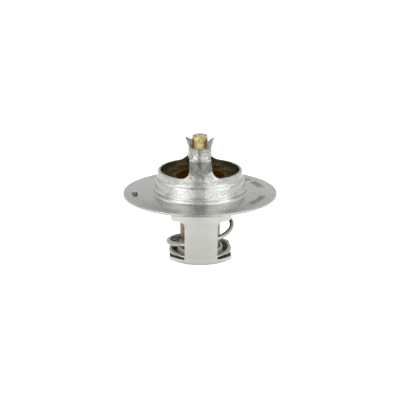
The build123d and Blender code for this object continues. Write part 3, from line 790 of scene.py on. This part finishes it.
class THERMOSTAT_OT_stage(bpy.types.Operator):
    """Builds the camera, the lamps, the floor with its cards, and the white backdrop"""

    bl_idname = "thermostat.stage"
    bl_label = "Stage"

    def execute(self, context):
        stage = context.scene.thermostat_stage
        self.camera(context, stage)
        self.lamps()
        self.floor(stage)
        self.cards(stage)
        self.world(context, stage)
        context.scene.view_settings.view_transform = "Standard"
        return {"FINISHED"}

    def camera(self, context, stage):
        """The camera, in front of the part and a little above it."""
        across = math.cos(stage.elevation) * stage.distance
        data = bpy.data.cameras.new("camera")
        data.lens = stage.lens
        data.sensor_width = SENSOR_WIDTH
        data.clip_start, data.clip_end = CAMERA_SEES
        camera = in_scene("camera", data)
        camera.location = (
            -across * math.sin(stage.side),
            -across * math.cos(stage.side),
            FLANGE_TOP + stage.distance * math.sin(stage.elevation),
        )
        camera.rotation_euler = (math.pi / 2 - stage.pitch, 0.0, -stage.side)
        context.scene.camera = camera

    def lamps(self):
        """Soft boxes: one large overhead, which metal doesn't mirror, and two at the sides."""
        for name, place, size, level in LAMPS:
            data = bpy.data.lights.new("lamp_" + name, "AREA")
            data.shape = "RECTANGLE"
            data.size, data.size_y = size
            data.energy = level * math.pi * size[0] * size[1]
            lamp = in_scene("lamp_" + name, data)
            lamp.location = place
            lamp.visible_glossy = name != "top"
            lamp.rotation_euler = (LAMPS_AIM - Vector(place)).to_track_quat("-Z", "Y").to_euler()

    def floor(self, stage):
        """A white sweep with a faint shadow under the part, duller where metal mirrors it."""
        material, tree, output = new_material("white_studio_card")
        white = linear(stage.backdrop)
        matt = add_node(tree, "ShaderNodeBsdfDiffuse", inputs={"Color": white})
        path = add_node(tree, "ShaderNodeLightPath")
        seen = add_node(tree, "ShaderNodeMath", {"operation": "MULTIPLY"}, {
            0: path.outputs["Is Camera Ray"], 1: FLOOR_GLOW,
        })
        glow = add_node(tree, "ShaderNodeEmission", inputs={"Color": white, "Strength": seen.outputs[0]})
        both = add_node(tree, "ShaderNodeAddShader", inputs={0: matt.outputs[0], 1: glow.outputs[0]})
        # in metal it is dimmest in front of the part and near it
        place = add_node(tree, "ShaderNodeTexCoord").outputs["Object"]
        way = add_node(tree, "ShaderNodeVectorMath", {"operation": "NORMALIZE"}, {0: place})
        apart = add_node(tree, "ShaderNodeSeparateXYZ", inputs={0: way.outputs[0]})
        front_end, side_start = FLOOR_FRONT
        level = add_node(tree, "ShaderNodeMapRange", inputs={
            "Value": apart.outputs["Y"], "From Min": front_end, "From Max": side_start,
            "To Min": self.level_by_distance(tree, stage.near_in_metal, stage.floor_in_metal),
            "To Max": stage.side_in_metal,
        })
        mirrored = add_node(tree, "ShaderNodeEmission", inputs={"Color": white, "Strength": level.outputs[0]})
        mix = add_node(tree, "ShaderNodeMixShader", inputs={
            0: path.outputs["Is Glossy Ray"], 1: both.outputs[0], 2: mirrored.outputs[0],
        })
        tree.links.new(mix.outputs[0], output.inputs["Surface"])
        around = ((-1, -1), (1, -1), (1, 1), (-1, 1))
        self.sheet("floor", [(x * FLOOR_REACH, y * FLOOR_REACH, 0) for x, y in around], material)

    def level_by_distance(self, tree, near, far):
        """The socket of a level that changes from near the part to well away from it."""
        place = add_node(tree, "ShaderNodeTexCoord").outputs["Object"]
        distance = add_node(tree, "ShaderNodeVectorMath", {"operation": "LENGTH"}, {0: place})
        level = add_node(tree, "ShaderNodeMapRange", {"interpolation_type": "SMOOTHSTEP"}, {
            "Value": distance.outputs["Value"], "From Min": LEVEL_NEAR, "From Max": LEVEL_FAR,
            "To Min": near, "To Max": far,
        })
        return level.outputs[0]

    def cards(self, stage):
        """White cards on the floor, left and right of the camera, that only reflections see."""
        for name, middle in (("card_left", stage.card_left), ("card_right", stage.card_right)):
            material, tree, output = new_material(name)
            level = self.level_by_distance(tree, stage.card_level, stage.card_level * stage.card_rise)
            glow = add_node(tree, "ShaderNodeEmission", inputs={
                "Color": linear(stage.backdrop), "Strength": level,
            })
            tree.links.new(glow.outputs[0], output.inputs["Surface"])
            corners = []
            for reach, turn in ((CARD_NEAR, -1), (CARD_FAR, -1), (CARD_FAR, 1), (CARD_NEAR, 1)):
                angle = middle + turn * stage.card_spread - stage.side
                corners.append((reach * math.sin(angle), -reach * math.cos(angle), CARD_HEIGHT))
            card = self.sheet(name, corners, material)
            card.visible_camera = card.visible_shadow = False
            card.visible_diffuse = card.visible_transmission = False

    def sheet(self, name, corners, material):
        """One flat stage piece."""
        mesh = bpy.data.meshes.new(name)
        mesh.from_pydata(corners, [], [(0, 1, 2, 3)])
        mesh.materials.append(material)
        piece = in_scene(name, mesh)
        return piece

    def world(self, context, stage):
        """White to the camera; to metal, a dim room with two tall boxes."""
        world = bpy.data.worlds.new("studio")
        world.use_nodes = True
        tree = world.node_tree
        tree.nodes.clear()
        white = linear(stage.backdrop)
        path = add_node(tree, "ShaderNodeLightPath")
        apart = add_node(tree, "ShaderNodeSeparateXYZ", inputs={
            0: add_node(tree, "ShaderNodeTexCoord").outputs["Generated"],
        })
        low = add_node(tree, "ShaderNodeMapRange", {"interpolation_type": "SMOOTHSTEP"}, {
            "Value": apart.outputs["Y"], "From Min": ROOM_DEPTH[0], "From Max": ROOM_DEPTH[1],
            "To Min": stage.room_front, "To Max": stage.room_back,
        })
        level = add_node(tree, "ShaderNodeMapRange", {"interpolation_type": "SMOOTHSTEP"}, {
            "Value": apart.outputs["Z"], "From Min": ROOM_RISE[0], "From Max": ROOM_RISE[1],
            "To Min": low.outputs[0], "To Max": stage.room_top,
        })
        # the boxes stand left and right of the camera and arch over the part
        front = add_node(tree, "ShaderNodeMapRange", inputs={
            "Value": apart.outputs["Y"], "From Min": BOX_END[0], "From Max": BOX_END[1],
        })
        for middle, half in ((stage.box_left, stage.box_left_half), (stage.box_right, stage.box_right_half)):
            off = add_node(tree, "ShaderNodeMath", {"operation": "SUBTRACT"}, {
                0: apart.outputs["X"], 1: middle,
            })
            away = add_node(tree, "ShaderNodeMath", {"operation": "ABSOLUTE"}, {0: off.outputs[0]})
            across = add_node(tree, "ShaderNodeMapRange", inputs={
                "Value": away.outputs[0], "From Min": half + BOX_EDGE, "From Max": half - BOX_EDGE,
            })
            box = add_node(tree, "ShaderNodeMath", {"operation": "MULTIPLY"}, {
                0: across.outputs[0], 1: front.outputs[0],
            })
            level = add_node(tree, "ShaderNodeMapRange", inputs={
                "Value": box.outputs[0], "To Min": level.outputs[0], "To Max": stage.box_level,
            })
        seen = add_node(
            tree, "ShaderNodeMath", {"operation": "ADD", "use_clamp": True},
            {0: path.outputs["Is Camera Ray"], 1: path.outputs["Is Transmission Ray"]},
        )
        fill, mirrored, backdrop = (
            add_node(tree, "ShaderNodeBackground", inputs={"Color": white, "Strength": strength})
            for strength in (ROOM_FILL, level.outputs[0], 1.0)
        )
        lit = add_node(tree, "ShaderNodeMixShader", inputs={
            0: path.outputs["Is Glossy Ray"], 1: fill.outputs[0], 2: mirrored.outputs[0],
        })
        mix = add_node(tree, "ShaderNodeMixShader", inputs={
            0: seen.outputs[0], 1: lit.outputs[0], 2: backdrop.outputs[0],
        })
        output = add_node(tree, "ShaderNodeOutputWorld")
        tree.links.new(mix.outputs[0], output.inputs["Surface"])
        context.scene.world = world


class THERMOSTAT_OT_pressing(bpy.types.Operator):
    """Draws the flange, the stepped bell and the bottle-necked bridge with its ears from one sheet"""

    bl_idname = "thermostat.pressing"
    bl_label = "Flange and bridge"

    def execute(self, context):
        finish = context.scene.thermostat_finish
        sizes = context.scene.thermostat_pressing
        bell = lathe("drawn_bell_and_bridge", rounded(self.section(sizes)), sizes.segments)
        cut(bell, self.cutters(sizes))
        bell.data.shade_smooth()
        bell.data.set_sharp_from_angle(angle=SHARP_EDGE)
        bell.data.materials.clear()
        bell.data.materials.append(pressed_stainless(
            "pressed_stainless_steel", finish.sheet_light, finish.sheet_dark, finish.sheet_shade_tint,
            finish.sheet_roughness, WHITE,
        ))
        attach(bell, "housing")
        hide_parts("flange_bridge")
        return {"FINISHED"}

    def section(self, sizes):
        """Corners of the sheet's section: up the outside from the flange's rim, then down the inside."""
        top = FLANGE_TOP
        under = top - sizes.sheet
        middle = sizes.foot_radius - sizes.foot_ledge
        throat = middle - sizes.wall_taper - sizes.shoulder_ledge
        shoulder = top + sizes.shoulder_rise
        slope = sizes.shoulder_slope / 2
        inner_throat = throat - sizes.sheet
        inner_neck = sizes.neck_radius - sizes.neck_wall
        ear = sizes.neck_radius + sizes.ear_flare
        ear_top = top + sizes.ear_rise + sizes.sheet
        return [
            (sizes.flange_radius, under - sizes.land_drop, sizes.flange_edge),
            (sizes.flange_radius, top - sizes.land_drop, sizes.flange_edge),
            (sizes.land_radius, top - sizes.land_drop, 0),
            (sizes.land_radius - sizes.land_slope, top, 0),
            (sizes.foot_radius, top, sizes.foot_bend),
            (sizes.foot_radius, top + sizes.foot_rise - sizes.step_height, sizes.step_height / 2),
            (middle, top + sizes.foot_rise, sizes.step_height / 2),
            (middle - sizes.wall_taper, shoulder - slope, sizes.shoulder_round),
            (throat, shoulder + slope, sizes.shoulder_round),
            (throat, top + sizes.bend_rise, sizes.bend),
            (sizes.neck_radius, top + sizes.neck_rise, sizes.neck_bend),
            (sizes.neck_radius, top + sizes.ear_start, sizes.ear_bend),
            (ear, ear_top, 0),
            (ear - sizes.neck_wall, ear_top, 0),
            (inner_neck, top + sizes.ear_start, sizes.ear_bend),
            (inner_neck, under + sizes.neck_rise, sizes.neck_bend + sizes.sheet),
            (inner_throat, under + sizes.bend_rise, sizes.bend - sizes.sheet),
            (inner_throat, under + sizes.shoulder_rise, sizes.sheet / 4),
            (middle - sizes.sheet - sizes.wall_taper, under + sizes.shoulder_rise, 0),
            (middle - sizes.sheet, under + sizes.foot_rise, 0),
            (sizes.foot_radius - sizes.sheet, under + sizes.foot_rise, 0),
            (sizes.foot_radius - sizes.sheet, under, sizes.foot_bend + sizes.sheet),
            (sizes.land_radius - sizes.land_slope, under, 0),
            (sizes.land_radius, under - sizes.land_drop, 0),
        ]

    def cutters(self, sizes):
        """The open sides, the notch between the ears, all outside the ears, and the vent hole."""
        # far enough out to pass the flange, and high enough to pass the ears
        reach = sizes.flange_radius * 1.5
        ear_top = FLANGE_TOP + sizes.ear_rise
        over = ear_top + sizes.sheet * 3
        leg = sizes.leg_width / 2
        rim = FLANGE_TOP + sizes.rim_rise
        window = FLANGE_TOP + sizes.window_rise
        collar = FLANGE_TOP + sizes.collar_rise
        turn = Matrix.Rotation(sizes.ear_turn, 3, "Z")
        made = []
        for side in (1, -1):
            made.append(prism("open_side", rounded([
                (side * leg, rim, sizes.leg_fillet), (side * reach, rim, 0),
                (side * reach, window, 0), (side * leg, window, sizes.neck_wall),
            ]), reach, FRONT_VIEW))
        half = sizes.ear_gap / 2
        made.append(prism("ear_notch", rounded([
            (-half, collar, sizes.neck_wall), (half, collar, sizes.neck_wall),
            (half, over, 0), (-half, over, 0),
        ]), reach, turn @ FRONT_VIEW))
        half = sizes.ear_half_width
        made.append(prism("ear_trim", rounded([
            (-reach, collar, 0), (-half, collar, 0),
            (-half, ear_top - sizes.ear_front_drop, sizes.ear_corner),
            (-sizes.ear_peak, ear_top, sizes.ear_corner),
            (half, ear_top - sizes.ear_rear_drop, sizes.ear_corner),
            (half, collar, 0), (reach, collar, 0), (reach, over, 0), (-reach, over, 0),
        ]), reach, turn @ SIDE_VIEW))
        place = Vector((math.cos(sizes.vent_angle), math.sin(sizes.vent_angle))) * sizes.vent_circle
        angles = [math.tau * step / VENT_HOLE_SIDES for step in range(VENT_HOLE_SIDES)]
        made.append(prism("vent_hole", [
            (place.x + sizes.vent_radius * math.cos(angle), place.y + sizes.vent_radius * math.sin(angle))
            for angle in angles
        ], FLANGE_TOP + sizes.sheet * 2, TOP_VIEW))
        return made


class THERMOSTAT_OT_steel(bpy.types.Operator):
    """Finishes the steel pieces: the lower frame, the valve plate, the clamp ring and the two pins"""

    bl_idname = "thermostat.steel"
    bl_label = "Steel pieces"

    def execute(self, context):
        finish = context.scene.thermostat_finish
        # the valve plate and clamp ring sit deep in the throat: their dark olive tones, and the shade colour
        # on their inward walls, are painted shade
        plate = pressed_stainless(
            "shade_darkened_stainless_steel", finish.plate_light, finish.plate_dark, finish.sheet_shade_tint,
            finish.sheet_roughness + PLATE_DULLER, finish.plate_light,
        )
        low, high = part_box("jiggle_pin")
        dress("valve_plate", plate)
        dress("clamp_ring", plate)
        dress("lower_frame", satin_steel(finish))
        dress("piston_pin", ground_steel())
        dress("jiggle_pin", vent_pin_steel((Vector(low) + Vector(high)) / 2))
        return {"FINISHED"}


class THERMOSTAT_OT_brass(bpy.types.Operator):
    """Finishes the brass: the adjusting nut and the element's cup and guide"""

    bl_idname = "thermostat.brass"
    bl_label = "Brass pieces"

    def execute(self, context):
        finish = context.scene.thermostat_finish
        hat = finish.hat_light
        # piece, material, dark and light tone, roughness, colour at a grazing angle
        for piece, *look in (
            ("adjusting_nut", "turned_brass_nut", finish.nut_dark, finish.nut_light, 0.6, WHITE),
            ("wax_cup", "pressed_brass_cup", finish.cup_dark, finish.cup_light, 0.35, WHITE),
            # the hat's dark brown tones are painted shade inside the throat
            ("element_guide", "shade_darkened_brass_hat", finish.hat_dark, hat, 0.4, hat),
        ):
            dress(piece, turned_brass(*look))
        return {"FINISHED"}


class THERMOSTAT_OT_seals(bpy.types.Operator):
    """Finishes what the element hides: seal, boot, washer and wax"""

    bl_idname = "thermostat.seals"
    bl_label = "Seals and wax"

    def execute(self, context):
        rubber = moulded_rubber()
        dress("piston_seal", rubber)
        dress("rubber_boot", rubber)
        dress("backup_washer", filled_plastic())
        dress("wax_charge", copper_wax())
        return {"FINISHED"}


class THERMOSTAT_OT_spring(bpy.types.Operator):
    """Winds the main spring: wide pitch that eases to flat at both ends, tighter coil in the pan"""

    bl_idname = "thermostat.spring"
    bl_label = "Main spring"

    def execute(self, context):
        finish = context.scene.thermostat_finish
        sizes = context.scene.thermostat_spring
        spring = made_piece("wound_main_spring", self.tree(), {
            "Wire Radius": sizes.wire_radius,
            "Coil Radius": sizes.top_radius,
            "Bottom Coil Radius": sizes.bottom_radius,
            "Bottom": sizes.bottom,
            "Top": sizes.top,
            "Turns": sizes.turns,
            "Dead Turns": sizes.dead_turns,
            "Bottom Ramp": sizes.bottom_ramp,
            "Top Ramp": sizes.top_ramp,
            "Start": sizes.start_angle,
            "Points": round(sizes.turns * sizes.points),
            "Sides": sizes.sides,
            "Material": spring_wire(finish),
        })
        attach(spring, "housing")
        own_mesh(spring)
        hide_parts("main_spring")
        return {"FINISHED"}

    def tree(self):
        """The spring's rule: it climbs by a full pitch per turn, and eases in and out of that at its ends."""
        tree, size = new_piece_tree("wound_spring", {
            "Wire Radius": "Float", "Coil Radius": "Float", "Bottom Coil Radius": "Float",
            "Bottom": "Float", "Top": "Float", "Turns": "Float", "Dead Turns": "Float",
            "Bottom Ramp": "Float", "Top Ramp": "Float", "Start": "Float",
            "Points": "Int", "Sides": "Int", "Material": "Material",
        })
        line = add_node(tree, "GeometryNodeMeshLine", inputs={"Count": size["Points"]})
        last = add_node(tree, "ShaderNodeMath", {"operation": "SUBTRACT"}, {0: size["Points"], 1: 1.0})
        turn = add_node(tree, "ShaderNodeMapRange", inputs={
            "Value": add_node(tree, "GeometryNodeInputIndex").outputs[0],
            "From Max": last.outputs[0], "To Max": size["Turns"],
        })
        # the coil in the pan is tighter
        narrow_to = add_node(tree, "ShaderNodeMath", {"operation": "MULTIPLY"}, {
            0: size["Bottom Ramp"], 1: 0.5,
        })
        radius = add_node(tree, "ShaderNodeMapRange", {"interpolation_type": "SMOOTHSTEP"}, {
            "Value": turn.outputs[0], "From Min": narrow_to.outputs[0], "From Max": size["Bottom Ramp"],
            "To Min": size["Bottom Coil Radius"], "To Max": size["Coil Radius"],
        })
        angle = add_node(tree, "ShaderNodeMath", {"operation": "MULTIPLY_ADD"}, {
            0: turn.outputs[0], 1: math.tau, 2: size["Start"],
        })
        placed = add_node(tree, "GeometryNodeSetPosition", inputs={
            "Geometry": line.outputs[0],
            "Position": around_axis(tree, angle.outputs[0], radius.outputs[0], self.height(tree, size, turn)),
        })
        path = add_node(tree, "GeometryNodeMeshToCurve", inputs={"Mesh": placed.outputs[0]})
        section = add_node(tree, "GeometryNodeCurvePrimitiveCircle", inputs={
            "Resolution": size["Sides"], "Radius": size["Wire Radius"],
        })
        wire = add_node(tree, "GeometryNodeCurveToMesh", inputs={
            "Curve": path.outputs[0], "Profile Curve": section.outputs[0], "Fill Caps": True,
        })
        # the cut ends stay flat
        corners = add_node(tree, "GeometryNodeInputMeshFaceNeighbors")
        drawn = add_node(tree, "FunctionNodeCompare", {"data_type": "INT", "operation": "LESS_EQUAL"}, {
            2: corners.outputs["Vertex Count"], 3: 4,
        })
        smooth = add_node(tree, "GeometryNodeSetShadeSmooth", inputs={
            "Geometry": wire.outputs[0], "Shade Smooth": drawn.outputs[0],
        })
        end_piece_tree(tree, smooth.outputs[0], size["Material"])
        return tree

    def height(self, tree, size, turn):
        """The socket of the wire's height after so many turns; in a ramp the pitch goes with its square."""
        # the pitch is full after the bottom ramp and before the top ramp
        full_from = add_node(tree, "ShaderNodeMath", {"operation": "ADD"}, {
            0: size["Dead Turns"], 1: size["Bottom Ramp"],
        })
        flat_from = add_node(tree, "ShaderNodeMath", {"operation": "SUBTRACT"}, {
            0: size["Turns"], 1: size["Dead Turns"],
        })
        full_to = add_node(tree, "ShaderNodeMath", {"operation": "SUBTRACT"}, {
            0: flat_from.outputs[0], 1: size["Top Ramp"],
        })
        full_turns = add_node(tree, "ShaderNodeMath", {"operation": "SUBTRACT"}, {
            0: full_to.outputs[0], 1: full_from.outputs[0],
        })
        eased_in = add_node(tree, "ShaderNodeMapRange", inputs={
            "Value": turn.outputs[0], "From Min": size["Dead Turns"], "From Max": full_from.outputs[0],
        })
        climbing = add_node(tree, "ShaderNodeMapRange", inputs={
            "Value": turn.outputs[0], "From Min": full_from.outputs[0], "From Max": full_to.outputs[0],
            "To Max": full_turns.outputs[0],
        })
        left_over = add_node(tree, "ShaderNodeMapRange", inputs={
            "Value": turn.outputs[0], "From Min": full_to.outputs[0], "From Max": flat_from.outputs[0],
            "To Min": 1.0, "To Max": 0.0,
        })
        # a whole ramp climbs a third of what its turns would climb at full pitch
        in_cubed = add_node(tree, "ShaderNodeMath", {"operation": "POWER"}, {0: eased_in.outputs[0], 1: 3.0})
        out_cubed = add_node(tree, "ShaderNodeMath", {"operation": "POWER"}, {
            0: left_over.outputs[0], 1: 3.0,
        })
        out_share = add_node(tree, "ShaderNodeMath", {"operation": "SUBTRACT"}, {
            0: 1.0, 1: out_cubed.outputs[0],
        })
        third_in = add_node(tree, "ShaderNodeMath", {"operation": "DIVIDE"}, {0: size["Bottom Ramp"], 1: 3.0})
        third_out = add_node(tree, "ShaderNodeMath", {"operation": "DIVIDE"}, {0: size["Top Ramp"], 1: 3.0})
        climbed = add_node(tree, "ShaderNodeMath", {"operation": "MULTIPLY_ADD"}, {
            0: third_in.outputs[0], 1: in_cubed.outputs[0], 2: climbing.outputs[0],
        })
        climbed = add_node(tree, "ShaderNodeMath", {"operation": "MULTIPLY_ADD"}, {
            0: third_out.outputs[0], 1: out_share.outputs[0], 2: climbed.outputs[0],
        })
        ramps = add_node(tree, "ShaderNodeMath", {"operation": "ADD"}, {
            0: third_in.outputs[0], 1: third_out.outputs[0],
        })
        whole = add_node(tree, "ShaderNodeMath", {"operation": "ADD"}, {
            0: ramps.outputs[0], 1: full_turns.outputs[0],
        })
        height = add_node(tree, "ShaderNodeMapRange", inputs={
            "Value": climbed.outputs[0], "From Max": whole.outputs[0],
            "To Min": size["Bottom"], "To Max": size["Top"],
        })
        return height.outputs[0]


class THERMOSTAT_OT_marks(bpy.types.Operator):
    """Marks the flange with plain fields of dark dots, and each leg of the frame with a small pip"""

    bl_idname = "thermostat.marks"
    bl_label = "Marks"

    def execute(self, context):
        sizes = context.scene.thermostat_marks
        self.fields(sizes, shade_dark_mark(context.scene.thermostat_finish))
        self.pips(sizes, NODES["lower_frame"])
        return {"FINISHED"}

    def fields(self, sizes, material):
        """The dot fields, their dots evenly spaced both ways."""
        tree = self.tree()
        for name, start, end, inner, outer in DOT_FIELDS:
            middle = (inner + outer) / 2
            field = made_piece(name, tree, {
                "Columns": max(2, round(math.radians(end - start) * middle / sizes.dot_pitch)),
                "Rows": max(2, round((outer - inner) / sizes.dot_pitch) + 1),
                "From": math.radians(start),
                "To": math.radians(end),
                "Inner Radius": inner,
                "Outer Radius": outer,
                "Height": FLANGE_TOP,
                "Dot Radius": sizes.dot_radius,
                "Dot Height": sizes.dot_height,
                "Material": material,
            })
            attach(field, "housing")

    def pips(self, sizes, strap):
        """A low pip on the outer face of the front and the rear leg, of the same steel."""
        flat = Matrix.Diagonal((sizes.pip_radius, sizes.pip_radius, sizes.pip_rise, 1.0))
        for name, side in (("leg_pip_front", -1), ("leg_pip_rear", 1)):
            start = Vector((0, side * PIP_RAY_START, sizes.pip_height))
            _, place, normal, _ = strap.ray_cast(start, Vector((0, -side, 0)))
            turn = normal.to_track_quat("Z", "Y").to_matrix().to_4x4()
            mesh = bmesh.new()
            bmesh.ops.create_uvsphere(
                mesh, u_segments=PIP_SIDES, v_segments=PIP_SIDES // 2, radius=1.0,
                matrix=Matrix.Translation(place) @ turn @ flat,
            )
            pip = new_object(name, mesh)
            pip.data.shade_smooth()
            pip.data.materials.append(strap.data.materials[0])
            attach(pip, "housing")

    def tree(self):
        """Dots in rows that follow the flange's round."""
        tree, size = new_piece_tree("dot_field", {
            "Columns": "Int", "Rows": "Int", "From": "Float", "To": "Float",
            "Inner Radius": "Float", "Outer Radius": "Float", "Height": "Float",
            "Dot Radius": "Float", "Dot Height": "Float", "Material": "Material",
        })
        # a square of side 1 about the origin, bent round the axis
        grid = add_node(tree, "GeometryNodeMeshGrid", inputs={
            "Size X": 1.0, "Size Y": 1.0, "Vertices X": size["Columns"], "Vertices Y": size["Rows"],
        })
        apart = add_node(tree, "ShaderNodeSeparateXYZ", inputs={
            0: add_node(tree, "GeometryNodeInputPosition").outputs[0],
        })
        angle = add_node(tree, "ShaderNodeMapRange", inputs={
            "Value": apart.outputs["X"], "From Min": -0.5, "From Max": 0.5,
            "To Min": size["From"], "To Max": size["To"],
        })
        radius = add_node(tree, "ShaderNodeMapRange", inputs={
            "Value": apart.outputs["Y"], "From Min": -0.5, "From Max": 0.5,
            "To Min": size["Inner Radius"], "To Max": size["Outer Radius"],
        })
        placed = add_node(tree, "GeometryNodeSetPosition", inputs={
            "Geometry": grid.outputs[0],
            "Position": around_axis(tree, angle.outputs[0], radius.outputs[0], size["Height"]),
        })
        ball = add_node(tree, "GeometryNodeMeshUVSphere", inputs={
            "Segments": DOT_SIDES, "Rings": DOT_SIDES // 2, "Radius": 1.0,
        })
        shape = add_node(tree, "ShaderNodeCombineXYZ", inputs={
            0: size["Dot Radius"], 1: size["Dot Radius"], 2: size["Dot Height"],
        })
        dots = add_node(tree, "GeometryNodeInstanceOnPoints", inputs={
            "Points": placed.outputs[0], "Instance": ball.outputs[0], "Scale": shape.outputs[0],
        })
        end_piece_tree(tree, dots.outputs[0], size["Material"])
        return tree


# ---- add-on -------------------------------------------------------------------------------------


class THERMOSTAT_PT_panel(bpy.types.Panel):
    """Lists the steps and their settings in the 3D view's sidebar"""

    bl_idname = "THERMOSTAT_PT_panel"
    bl_label = "Insert Thermostat"
    bl_space_type = "VIEW_3D"
    bl_region_type = "UI"
    bl_category = "Thermostat"

    def draw(self, context):
        for operator in OPERATORS:
            self.layout.operator(operator.bl_idname)
        for group in GROUPS:
            box = self.layout.box()
            settings = getattr(context.scene, group)
            for name in settings.bl_rna.properties.keys():
                if name not in ("rna_type", "name"):
                    box.prop(settings, name)


OPERATORS = (
    THERMOSTAT_OT_stage,
    THERMOSTAT_OT_pressing,
    THERMOSTAT_OT_steel,
    THERMOSTAT_OT_brass,
    THERMOSTAT_OT_seals,
    THERMOSTAT_OT_spring,
    THERMOSTAT_OT_marks,
)
GROUPS = {
    "thermostat_finish": ThermostatFinish,
    "thermostat_pressing": ThermostatPressing,
    "thermostat_spring": ThermostatSpring,
    "thermostat_marks": ThermostatMarks,
    "thermostat_stage": ThermostatStage,
}


def register():
    """Adds the settings, the steps and the panel."""
    for name, group in GROUPS.items():
        bpy.utils.register_class(group)
        setattr(bpy.types.Scene, name, bpy.props.PointerProperty(type=group))
    for kind in (*OPERATORS, THERMOSTAT_PT_panel):
        bpy.utils.register_class(kind)


def unregister():
    """Takes them away again."""
    for kind in reversed((*OPERATORS, THERMOSTAT_PT_panel)):
        bpy.utils.unregister_class(kind)
    for name, group in GROUPS.items():
        delattr(bpy.types.Scene, name)
        bpy.utils.unregister_class(group)


def main():
    """Runs every step."""
    register()
    for operator in OPERATORS:
        family, name = operator.bl_idname.split(".")
        getattr(getattr(bpy.ops, family), name)()


if __name__ == "__main__":
    main()
